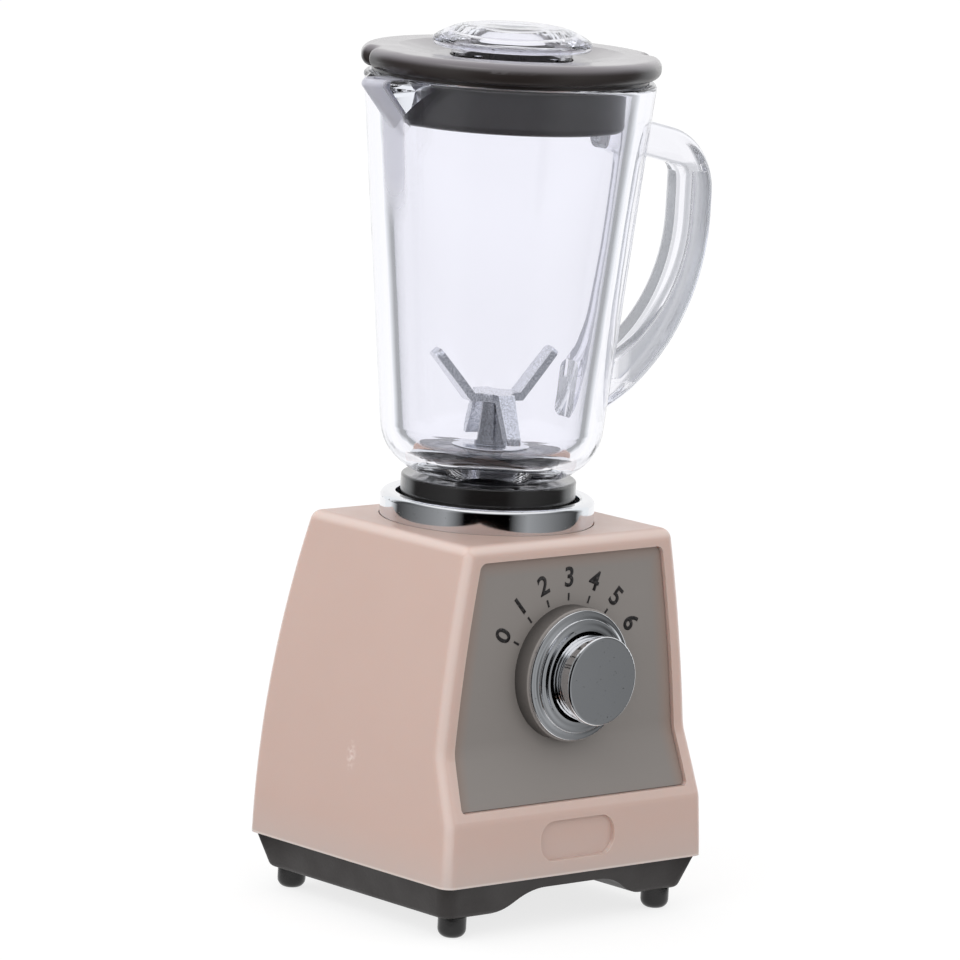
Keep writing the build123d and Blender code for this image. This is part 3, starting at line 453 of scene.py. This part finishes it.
def round_boss(tree, where):
    """Painted shade on the side of the knob's boss: darkest at its root, and nothing away from it."""
    to_front = maths(tree, "ABSOLUTE", xyz(tree, surface_normal(tree))["Y"])
    near_boss = ramp(tree, from_knob_axis(tree, where), BOSS_RADIUS + 0.3, BOSS_RADIUS + 0.2)
    shaded_boss_side = maths(tree, "MULTIPLY", near_boss, ramp(tree, to_front, 0.6, 0.4))
    to_back = xyz(tree, where)["Y"]
    at_root = ramp(tree, to_back, PANEL_FACE - BOSS_HEIGHT, PANEL_FACE - 0.1, low=0.6, high=0.95)
    return maths(tree, "MULTIPLY", shaded_boss_side, at_root)


def grey_plastic(settings):
    """The panel's warm grey: browner at its edges, with painted shade round the boss, and one pale gate mark.
    """
    finish, tree, shader, where, body = moulded("panel_grey", settings.panel, gloss=0.42, mottle=0.025)
    body = blend(tree, along_panel_edge(tree, where), body, rgba(settings.panel_edge))
    # Painted shade on the side of the boss
    body = blend(tree, round_boss(tree, where), body, rgba(settings.panel, 0.2))
    body = blend(tree, spot(tree, where, GATE_PLACE, GATE_REACH), body, rgba(settings.housing_pale))
    feed(tree, shader.inputs["Base Color"], body)
    return finish


def plated(name, settings, *, gloss=0.05):
    """Plated plastic: a mirror with the faint ripple and pinholes of a dipped toy."""
    finish, tree, shader = new_finish(name)
    where = millimetres(tree)
    cloud = noise(tree, where, grain=3.0, detail=4.0)
    pinholes = ramp(tree, noise(tree, where, grain=0.2, detail=2.0), 0.7, 0.76)
    skin = blend(tree, cloud, rgba(settings.plating, 0.95), rgba(settings.plating, 1.0))
    feed(tree, shader.inputs["Base Color"], blend(tree, pinholes, skin, rgba(settings.plating, 0.45)))
    roughness = ramp(tree, cloud, 0.3, 0.7, low=gloss, high=gloss + 0.05)
    dull_holes = maths(tree, "MULTIPLY", pinholes, 0.25)
    feed(tree, shader.inputs["Roughness"], maths(tree, "ADD", roughness, dull_holes))
    shader.inputs["Metallic"].default_value = 1.0
    ripple = noise(tree, where, grain=4.0, detail=2.0)
    feed(tree, shader.inputs["Normal"], bump(tree, ripple, 0.003))
    return finish, tree, shader, where


def turned_plating(settings):
    """The bezel's plating, with the rings of a turned mould round the knob."""
    finish, tree, shader, where = plated("plated_bezel", settings)
    turns = maths(tree, "MULTIPLY", from_knob_axis(tree, where), 2 * math.pi / RING_PITCH)
    rings = maths(tree, "SINE", turns)
    feed(tree, shader.inputs["Normal"], bump(tree, rings, RING_DEPTH))
    return finish


def clear_plastic(name, settings):
    """Clear plastic, greyer where it is seen along its surface, with slow flow ripples."""
    finish, tree, shader = new_finish(name)
    where = millimetres(tree)
    flow = noise(tree, where, grain=6.0, detail=2.0)
    slant = add(tree, "ShaderNodeLayerWeight", {"Blend": 0.5}).outputs["Facing"]
    body = blend(tree, ramp(tree, slant, 0.55, 1.0), rgba(settings.clear), rgba(settings.clear_edge))
    feed(tree, shader.inputs["Base Color"], body)
    haze = noise(tree, where, grain=1.5, detail=4.0)
    feed(tree, shader.inputs["Roughness"], ramp(tree, haze, 0.35, 0.75, low=0.0, high=0.03))
    shader.inputs["IOR"].default_value = CLEAR_IOR
    shader.inputs["Transmission Weight"].default_value = 1.0
    feed(tree, shader.inputs["Normal"], bump(tree, flow, 0.02))
    return finish, tree, shader, where, body


def places_on_jug(tree, where):
    """Distance from the jug's axis towards its handle, and distance to either side of handle and spout."""
    middle = middle_of("jar_collar") / MM
    from_axis = vector_maths(tree, "SUBTRACT", where, (middle.x, middle.y, 0.0))
    to_handle = (math.cos(JUG_TURN), math.sin(JUG_TURN), 0.0)
    to_side = (-math.sin(JUG_TURN), math.cos(JUG_TURN), 0.0)
    along = vector_maths(tree, "DOT_PRODUCT", from_axis, to_handle)
    off_middle = maths(tree, "ABSOLUTE", vector_maths(tree, "DOT_PRODUCT", from_axis, to_side))
    return along, off_middle


def clear_jug(settings):
    """The jug's clear plastic, frosted in the handle's pockets, with painted light along the spout's keel:
    pale and less clear there, so that it does not show dark.
    """
    finish, tree, shader, where, body = clear_plastic("clear_jug", settings)
    along, off_middle = places_on_jug(tree, where)
    off_floor = maths(tree, "ABSOLUTE", maths(tree, "SUBTRACT", off_middle, POCKET_FLOOR))
    in_pocket = ramp(tree, off_floor, 0.2, 0.1)
    on_handle = ramp(tree, along, HANDLE_START, HANDLE_START + HANDLE_FADE)
    frosted = maths(tree, "MULTIPLY", in_pocket, on_handle)
    past_wall = ramp(tree, along, *KEEL_START)
    on_keel = maths(tree, "MULTIPLY", past_wall, ramp(tree, off_middle, *KEEL_HALF_WIDTH))
    body = blend(tree, frosted, body, rgba(settings.frost))
    # Painted light: the keel is made pale so that it does not show dark
    feed(tree, shader.inputs["Base Color"], blend(tree, on_keel, body, rgba(settings.milky)))
    dull = maths(tree, "MAXIMUM", frosted, on_keel)
    roughness = ramp(tree, dull, 0.0, 1.0, low=CLEAR_ROUGHNESS, high=FROST_ROUGHNESS)
    feed(tree, shader.inputs["Roughness"], roughness)
    clearness = ramp(tree, on_keel, 0.0, 1.0, low=1.0, high=KEEL_CLEARNESS)
    feed(tree, shader.inputs["Transmission Weight"], clearness)
    return finish


def bloomed_plastic(settings):
    """The lid's dark satin plastic, with a painted sheen that makes it paler where it faces up, and more
    gloss there.
    """
    finish, tree, shader, _, body = moulded(
        "lid_dark", settings.lid, gloss=0.36, grain_depth=0.001, wave_depth=0.004
    )
    upward = vector_maths(tree, "DOT_PRODUCT", surface_normal(tree), UP)
    # Painted sheen on the faces that look up
    bloom = ramp(tree, upward, 0.1, 0.85)
    feed(tree, shader.inputs["Base Color"], blend(tree, bloom, body, rgba(settings.bloom)))
    feed(tree, shader.inputs["Coat Weight"], ramp(tree, upward, -0.3, 0.5, low=0.25, high=1.0))
    shader.inputs["Coat Roughness"].default_value = 0.2
    return finish


def silver_paint(name, silver):
    """Bright silver paint with fine flakes and slow drags, and a painted highlight along its edges."""
    finish, tree, shader = new_finish(name)
    where = millimetres(tree)
    flakes = noise(tree, where, grain=0.13, detail=3.0)
    drag = noise(tree, where, grain=0.9, detail=3.0)
    paint = blend(tree, ramp(tree, flakes, 0.4, 0.58), rgba(silver, 0.75), rgba(silver))
    # Painted highlight along the edges
    paint = blend(tree, edges(tree, GLINT_EDGE_REACH), paint, rgba(silver, 1.3))
    feed(tree, shader.inputs["Base Color"], paint)
    feed(tree, shader.inputs["Roughness"], ramp(tree, flakes, 0.3, 0.7, low=0.12, high=0.26))
    shader.inputs["Metallic"].default_value = 1.0
    feed(tree, shader.inputs["Normal"], bump(tree, flakes, 0.012, bump(tree, drag, 0.06)))
    return finish


def spring_steel(settings):
    """Bare spring steel with fine drawing lines."""
    finish, tree, shader = new_finish("spring_steel")
    where = millimetres(tree)
    drawn_out = vector_maths(tree, "MULTIPLY", where, (1.0, 1.0, 6.0))
    lines = noise(tree, drawn_out, grain=0.3, detail=3.0)
    steel = blend(tree, lines, rgba(settings.steel, 0.8), rgba(settings.steel, 1.1))
    feed(tree, shader.inputs["Base Color"], steel)
    feed(tree, shader.inputs["Roughness"], ramp(tree, lines, 0.3, 0.7, low=0.25, high=0.45))
    shader.inputs["Metallic"].default_value = 1.0
    return finish


def dial_ink(settings):
    """Pad-printed ink, a little thin in places."""
    finish, tree, shader = new_finish("dial_ink")
    where = millimetres(tree)
    thin = ramp(tree, noise(tree, where, grain=0.18, detail=4.0), 0.55, 0.75, low=0.0, high=0.35)
    feed(tree, shader.inputs["Base Color"], blend(tree, thin, rgba(settings.ink), rgba(settings.panel)))
    feed(tree, shader.inputs["Roughness"], ramp(tree, thin, 0.0, 0.35, low=0.45, high=0.6))
    return finish


# Stage

# Enough for light to pass through all the walls of the jug and the cap
LIGHT_BOUNCES = 24

CARD_TINT = linear(250, 253, 255)
CARD_PALE_FROM = 0.6
MAT_LIFT = 0.2 * MM
SENSOR_WIDTH = 36.0
NEAREST_SEEN = 10 * MM


def sweep_band(name, profile, start, end, steps=48):
    """A card bent round the toy from one direction to another, with a profile of (radius, height) points."""
    shape = bmesh.new()
    columns = []
    for step in range(steps + 1):
        turn = start + (end - start) * step / steps
        outward = Vector((math.sin(turn), -math.cos(turn), 0.0))
        columns.append([shape.verts.new(outward * radius + UP * height) for radius, height in profile])
    for column, following in zip(columns, columns[1:]):
        for row in range(len(profile) - 1):
            shape.faces.new((column[row], following[row], following[row + 1], column[row + 1]))
    return finished_mesh(name, shape)


def finished_mesh(name, shape):
    """Turns a built shape into an object of the scene."""
    mesh = bpy.data.meshes.new(name)
    shape.to_mesh(mesh)
    shape.free()
    piece = bpy.data.objects.new(name, mesh)
    bpy.context.collection.objects.link(piece)
    return piece


def seen_directly(tree):
    """1 for what is seen straight, in a mirror or through glass, and 0 for light on its way to a surface."""
    path = add(tree, "ShaderNodeLightPath")
    mirror_or_eye = maths(tree, "MAXIMUM", path.outputs["Is Camera Ray"], path.outputs["Is Glossy Ray"])
    return maths(tree, "MAXIMUM", mirror_or_eye, path.outputs["Is Transmission Ray"])


def lay_floor(studio):
    """A white table that keeps the toy's shadow."""
    shape = bmesh.new()
    bmesh.ops.create_grid(shape, x_segments=1, y_segments=1, size=studio.floor_reach)
    floor = finished_mesh("floor", shape)
    finish, tree, shader = new_finish("white_table")
    seen = seen_directly(tree)
    white = ramp(tree, seen, 0.0, 1.0, low=studio.floor_white, high=studio.floor_shade)
    feed(tree, shader.inputs["Base Color"], white)
    shader.inputs["Roughness"].default_value = 1.0
    shader.inputs["Specular IOR Level"].default_value = 0.0
    shader.inputs["Emission Color"].default_value = rgba((1.0, 1.0, 1.0))
    feed(tree, shader.inputs["Emission Strength"], maths(tree, "MULTIPLY", seen, studio.floor_glow))
    floor.data.materials.append(finish)


def light_sky(studio, scene):
    """White all round where it is seen, and softer as light."""
    world = bpy.data.worlds.new("soft_white")
    world.use_nodes = True
    tree = world.node_tree
    backdrop = tree.nodes["Background"]
    backdrop.inputs["Color"].default_value = rgba((1.0, 1.0, 1.0))
    strength = ramp(tree, seen_directly(tree), 0.0, 1.0, low=studio.sky, high=1.0)
    feed(tree, backdrop.inputs["Strength"], strength)
    scene.world = world


def hang_softbox(studio):
    """One large soft lamp, high on the left."""
    lamp = bpy.data.lights.new("softbox", "AREA")
    lamp.size = studio.softbox_size
    lamp.energy = studio.softbox_power
    holder = bpy.data.objects.new("softbox", lamp)
    level = Vector((math.sin(studio.softbox_turn), -math.cos(studio.softbox_turn), 0.0))
    towards = level * math.cos(studio.softbox_lift) + UP * math.sin(studio.softbox_lift)
    holder.location = towards * studio.softbox_distance
    holder.rotation_euler = towards.to_track_quat("Z", "Y").to_euler()
    bpy.context.collection.objects.link(holder)


def card_brightness(tree, studio, view):
    """How bright the card is: one pattern where mirrors show it, and another where clear plastic does."""
    point = add(tree, "ShaderNodeTexCoord").outputs["Object"]
    up = xyz(tree, point)["Z"]
    straight_on = (math.sin(view.azimuth), -math.cos(view.azimuth), 0.0)
    ahead = vector_maths(tree, "DOT_PRODUCT", point, straight_on)
    reach = vector_maths(tree, "LENGTH", vector_maths(tree, "MULTIPLY", point, (1.0, 1.0, 0.0)))
    away = maths(tree, "ARCCOSINE", maths(tree, "DIVIDE", ahead, reach))
    soft = studio.card_soft
    grey_end = studio.grey_half - 2 * soft
    grey = ramp(tree, away, studio.dark_half, grey_end, low=studio.card_near, high=studio.card_far)
    past_dark = ramp(tree, away, studio.dark_half - 2 * soft, studio.dark_half + 2 * soft)
    past_grey = ramp(tree, away, studio.grey_half - 3 * soft, studio.grey_half)
    mirrored = maths(tree, "MAXIMUM", maths(tree, "MULTIPLY", grey, past_dark), past_grey)
    glass_end = studio.glass_half - 2 * soft
    in_glass = ramp(tree, away, glass_end, studio.glass_half, low=studio.card_in_glass, high=1.0)
    through = add(tree, "ShaderNodeLightPath").outputs["Is Transmission Ray"]
    level = ramp(tree, through, 0.0, 1.0, low=mirrored, high=in_glass)
    near_top = ramp(tree, up, CARD_PALE_FROM * studio.card_height, studio.card_height)
    high_in_glass = maths(tree, "MULTIPLY", through, ramp(tree, up, studio.glass_low, studio.glass_high))
    return maths(tree, "MAXIMUM", maths(tree, "MAXIMUM", level, near_top), high_in_glass)


def stand_card(studio, view):
    """A bent card, black towards the camera and grey beside it, that only mirrors and clear plastic show."""
    profile = (
        (studio.mat_radius, MAT_LIFT),
        (studio.card_radius, MAT_LIFT),
        (studio.card_radius, studio.card_height),
    )
    card = sweep_band("card", profile, view.azimuth - studio.glass_half, view.azimuth + studio.glass_half)
    finish = bpy.data.materials.new("card")
    finish.use_nodes = True
    tree = finish.node_tree
    tree.nodes.clear()
    level = card_brightness(tree, studio, view)
    glow = add(tree, "ShaderNodeEmission", {"Color": rgba(CARD_TINT), "Strength": level})
    output = add(tree, "ShaderNodeOutputMaterial")
    tree.links.new(glow.outputs["Emission"], output.inputs["Surface"])
    card.data.materials.append(finish)
    card.visible_camera = False
    card.visible_diffuse = False
    card.visible_shadow = False


def stand_camera(view, scene):
    """The camera at the picture's viewing angle, leaning a little."""
    right = Vector((math.cos(view.azimuth), math.sin(view.azimuth), 0.0))
    back = Vector((
        math.sin(view.azimuth) * math.cos(view.elevation),
        -math.cos(view.azimuth) * math.cos(view.elevation),
        math.sin(view.elevation),
    ))
    above = back.cross(right)
    across = right * math.cos(view.roll) + above * math.sin(view.roll)
    upward = above * math.cos(view.roll) - right * math.sin(view.roll)
    lens = bpy.data.cameras.new("camera")
    lens.lens = view.lens
    lens.sensor_width = SENSOR_WIDTH
    lens.clip_start = NEAREST_SEEN
    camera = bpy.data.objects.new("camera", lens)
    camera.matrix_world = Matrix((across, upward, back)).transposed().to_4x4()
    camera.location = UP * view.aim_height - across * view.aim_left + back * view.distance
    bpy.context.collection.objects.link(camera)
    scene.camera = camera


class ToyStage(bpy.types.Operator):
    """Sets up the table, the light, the card and the camera"""

    bl_idname = "toy.stage"
    bl_label = "Stage"

    def execute(self, context):
        scene = context.scene
        scene.view_settings.view_transform = "Standard"
        scene.cycles.max_bounces = LIGHT_BOUNCES
        scene.cycles.glossy_bounces = LIGHT_BOUNCES
        scene.cycles.transmission_bounces = LIGHT_BOUNCES
        lay_floor(scene.toy_studio)
        light_sky(scene.toy_studio, scene)
        hang_softbox(scene.toy_studio)
        stand_card(scene.toy_studio, scene.toy_view)
        stand_camera(scene.toy_view, scene)
        return {"FINISHED"}


# Base

class ToyHousing(bpy.types.Operator):
    """Finishes the pink housing"""

    bl_idname = "toy.housing"
    bl_label = "Housing"

    def execute(self, context):
        dress(pink_plastic(toy(context)), "housing")
        return {"FINISHED"}


class ToyFrontPanel(bpy.types.Operator):
    """Finishes the grey front panel"""

    bl_idname = "toy.front_panel"
    bl_label = "Front panel"

    def execute(self, context):
        dress(grey_plastic(toy(context)), "front_panel")
        return {"FINISHED"}


class ToyUnderside(bpy.types.Operator):
    """Finishes the bottom plate and the four feet"""

    bl_idname = "toy.underside"
    bl_label = "Bottom plate and feet"

    def execute(self, context):
        settings = toy(context)
        plate_dark, *_ = moulded("plate_dark", settings.plate, gloss=0.5, grain=0.2, grain_depth=0.01)
        foot_black, *_ = moulded("foot_black", settings.foot, gloss=0.22, wear_and_light=0.05)
        feet = [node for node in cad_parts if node.startswith("foot_")]
        dress(plate_dark, "bottom_plate")
        dress(foot_black, *feet)
        return {"FINISHED"}


# Share of a number's height by which its strokes are thickened, and how finely its curves are cut
NUMBER_BOLD = 0.02
NUMBER_CURVE_STEPS = 6


def number_mesh(number, height):
    """The outline of one number, filled, in a plane."""
    words = bpy.data.curves.new("number", "FONT")
    words.body = str(number)
    words.size = height
    words.align_x = "CENTER"
    words.align_y = "CENTER"
    words.resolution_u = NUMBER_CURVE_STEPS
    words.offset = NUMBER_BOLD * height
    holder = bpy.data.objects.new("number", words)
    bpy.context.collection.objects.link(holder)
    bpy.context.view_layer.update()
    mesh = bpy.data.meshes.new_from_object(holder.evaluated_get(bpy.context.evaluated_depsgraph_get()))
    bpy.data.objects.remove(holder)
    return mesh


def print_on(panel, shape, thickness):
    """Lays flat figures, drawn in X and Z, on the panel, sunk and raised by the ink's thickness."""
    face = BVHTree.FromPolygons(
        [vertex.co for vertex in panel.data.vertices], [polygon.vertices for polygon in panel.data.polygons]
    )
    solid = bmesh.ops.extrude_face_region(shape, geom=shape.faces[:])
    raised = {vertex for vertex in solid["geom"] if isinstance(vertex, bmesh.types.BMVert)}
    for vertex in shape.verts:
        start = Vector((vertex.co.x, CAD_BOX[0][1] - thickness, vertex.co.z))
        hit = face.ray_cast(start, Vector((0.0, 1.0, 0.0)))[0]
        if hit is None:
            raise RuntimeError("a figure of the dial lies off the panel")
        lift = thickness if vertex in raised else -thickness
        vertex.co.y = hit.y - lift
    bmesh.ops.recalc_face_normals(shape, faces=shape.faces[:])


class ToyDial(bpy.types.Operator):
    """Prints ticks and plain numbers round the knob"""

    bl_idname = "toy.dial"
    bl_label = "Dial print"

    def execute(self, context):
        dial = context.scene.toy_dial
        low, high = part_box("knob_bezel")
        tick_start = (high.x - low.x) / 2 + dial.tick_gap
        number_radius = tick_start + dial.tick_length + dial.number_gap
        finish = dial_ink(toy(context))
        ticks, numbers = bmesh.new(), bmesh.new()
        for step in range(dial.steps + 1):
            turn = dial.spread * (0.5 - step / dial.steps)
            place = Matrix.Translation(middle_of("knob_bezel")) @ Matrix.Rotation(-turn, 4, "Y")
            tick = [
                place @ Vector((side * dial.tick_width / 2, 0.0, tick_start + end * dial.tick_length))
                for side, end in ((-1, 0), (1, 0), (1, 1), (-1, 1))
            ]
            ticks.faces.new([ticks.verts.new(corner) for corner in tick])
            figure = number_mesh(step, dial.number_height)
            upright = Matrix.Rotation(math.pi / 2, 4, "X")
            figure.transform(place @ Matrix.Translation(UP * number_radius) @ upright)
            numbers.from_mesh(figure)
            bpy.data.meshes.remove(figure)
        for name, shape in (("dial_ticks", ticks), ("dial_numbers", numbers)):
            print_on(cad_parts["front_panel"], shape, dial.ink_thickness)
            printed = finished_mesh(name, shape)
            printed.data.materials.append(finish)
            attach(printed, "base")
        return {"FINISHED"}


class ToyPlating(bpy.types.Operator):
    """Finishes the bright seat ring, bezel and knob"""

    bl_idname = "toy.plating"
    bl_label = "Ring, bezel and knob"

    def execute(self, context):
        dress(plated("plated", toy(context))[0], "seat_ring", "knob")
        dress(turned_plating(toy(context)), "knob_bezel")
        return {"FINISHED"}


# Jug

class ToyJug(bpy.types.Operator):
    """Finishes the clear jug and its black collar"""

    bl_idname = "toy.jug"
    bl_label = "Jug and collar"

    def execute(self, context):
        settings = toy(context)
        dress(clear_jug(settings), "jar")
        finish, _, shader, *_ = moulded("collar_black", settings.collar, gloss=0.22, grain_depth=0.001)
        shader.inputs["Coat Weight"].default_value = 0.6
        shader.inputs["Coat Roughness"].default_value = 0.1
        dress(finish, "jar_collar")
        return {"FINISHED"}


class ToyBlade(bpy.types.Operator):
    """Finishes the blade, its post and the bright hub on the jug's floor"""

    bl_idname = "toy.blade"
    bl_label = "Blade"

    def execute(self, context):
        settings = toy(context)
        dress(plated("plated_hub", settings, gloss=0.12)[0], "blade_base")
        dress(silver_paint("blade_silver", settings.silver), "blade")
        # Painted shade: the post's finish is the darker silver
        dress(silver_paint("post_silver_shaded", settings.post), "blade_post")
        soften(PAINT_ROUND, "blade", "blade_post")
        return {"FINISHED"}


class ToyLid(bpy.types.Operator):
    """Finishes the dark lid and its clear cap"""

    bl_idname = "toy.lid"
    bl_label = "Lid and cap"

    def execute(self, context):
        settings = toy(context)
        dress(bloomed_plastic(settings), "lid")
        dress(clear_plastic("clear_cap", settings)[0], "lid_cap")
        return {"FINISHED"}


class ToyClips(bpy.types.Operator):
    """Finishes the two spring clips"""

    bl_idname = "toy.clips"
    bl_label = "Clips"

    def execute(self, context):
        dress(spring_steel(toy(context)), "knob_clip", "post_clip")
        return {"FINISHED"}


# Add-on

STEPS = (
    ToyStage,
    ToyHousing,
    ToyFrontPanel,
    ToyUnderside,
    ToyDial,
    ToyPlating,
    ToyJug,
    ToyBlade,
    ToyLid,
    ToyClips,
)
SETTINGS = (
    ("toy_view", ToyViewSettings),
    ("toy_studio", ToyStudioSettings),
    ("toy_finish", ToyFinishSettings),
    ("toy_dial", ToyDialSettings),
)


class ToySidebar(bpy.types.Panel):
    """Lists the toy's steps and settings in the 3D view's sidebar"""

    bl_idname = "VIEW3D_PT_toy_blender"
    bl_label = "Toy blender"
    bl_space_type = "VIEW_3D"
    bl_region_type = "UI"
    bl_category = "Toy blender"

    def draw(self, context):
        for step in STEPS:
            self.layout.operator(step.bl_idname)
        for name, group in SETTINGS:
            box = self.layout.box()
            for setting in group.__annotations__:
                box.prop(getattr(context.scene, name), setting)


def register():
    """Adds the settings, the steps and the sidebar's panel."""
    for name, group in SETTINGS:
        bpy.utils.register_class(group)
        setattr(bpy.types.Scene, name, PointerProperty(type=group))
    for made in (*STEPS, ToySidebar):
        bpy.utils.register_class(made)


def unregister():
    """Takes away what register added, in the opposite order."""
    for made in (ToySidebar, *reversed(STEPS)):
        bpy.utils.unregister_class(made)
    for name, group in reversed(SETTINGS):
        delattr(bpy.types.Scene, name)
        bpy.utils.unregister_class(group)


def main():
    """Dresses the whole toy."""
    register()
    for step in STEPS:
        family, action = step.bl_idname.split(".")
        getattr(getattr(bpy.ops, family), action)()


if __name__ == "__main__":
    main()
